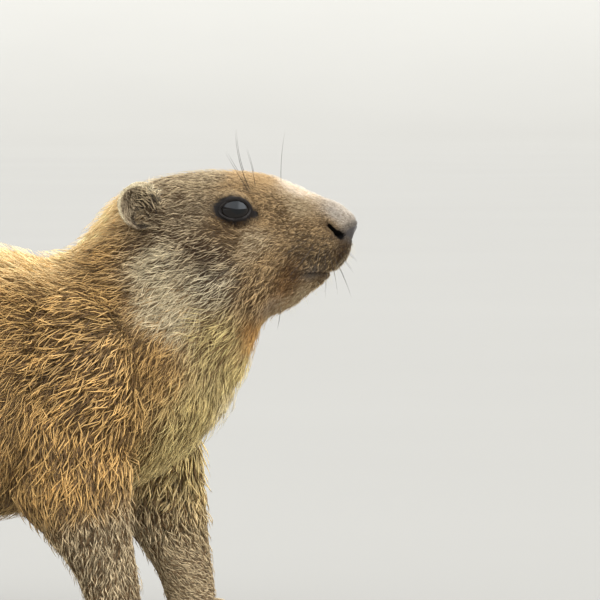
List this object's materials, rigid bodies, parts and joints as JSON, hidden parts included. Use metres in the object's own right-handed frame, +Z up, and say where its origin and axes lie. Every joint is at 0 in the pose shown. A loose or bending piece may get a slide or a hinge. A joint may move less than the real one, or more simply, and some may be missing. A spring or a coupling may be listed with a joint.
{
  "type": "alpine marmot",
  "caption": "Life-size alpine marmot standing on all fours with its head raised, coat in flat tapered locks.",
  "frame": {"origin": "on the floor under the middle of the animal's box", "axes": "+X from the rump towards the nose, +Y to the animal's left, +Z up"},
  "size_m": [0.5238, 0.1616, 0.2152],
  "materials": {
    "face_coat": "short grizzled fur",
    "golden_coat": "golden yellow fur",
    "grizzled_coat": "banded brown and golden fur",
    "foot_coat": "short yellowish fur with dark claws",
    "tail_coat": "long dark brown fur",
    "ear_coat": "short grey brown fur",
    "nose_skin": "bare dark skin, slightly moist",
    "eye_gloss": "wet dark brown eye"
  },
  "bodies": {
    "root": {"head": "face_coat", "nose": "nose_skin", "neck": "golden_coat", "chest": "grizzled_coat", "hindquarters": "grizzled_coat", "tail": "tail_coat", "eye_right": "eye_gloss", "eye_left": "eye_gloss", "ear_right": "ear_coat", "ear_left": "ear_coat", "foreleg_right": "golden_coat", "foreleg_left": "golden_coat", "hindleg_right": "grizzled_coat", "hindleg_left": "grizzled_coat", "forefoot_right": "foot_coat", "forefoot_left": "foot_coat", "hindfoot_right": "foot_coat", "hindfoot_left": "foot_coat"}
  },
  "joints": []
}
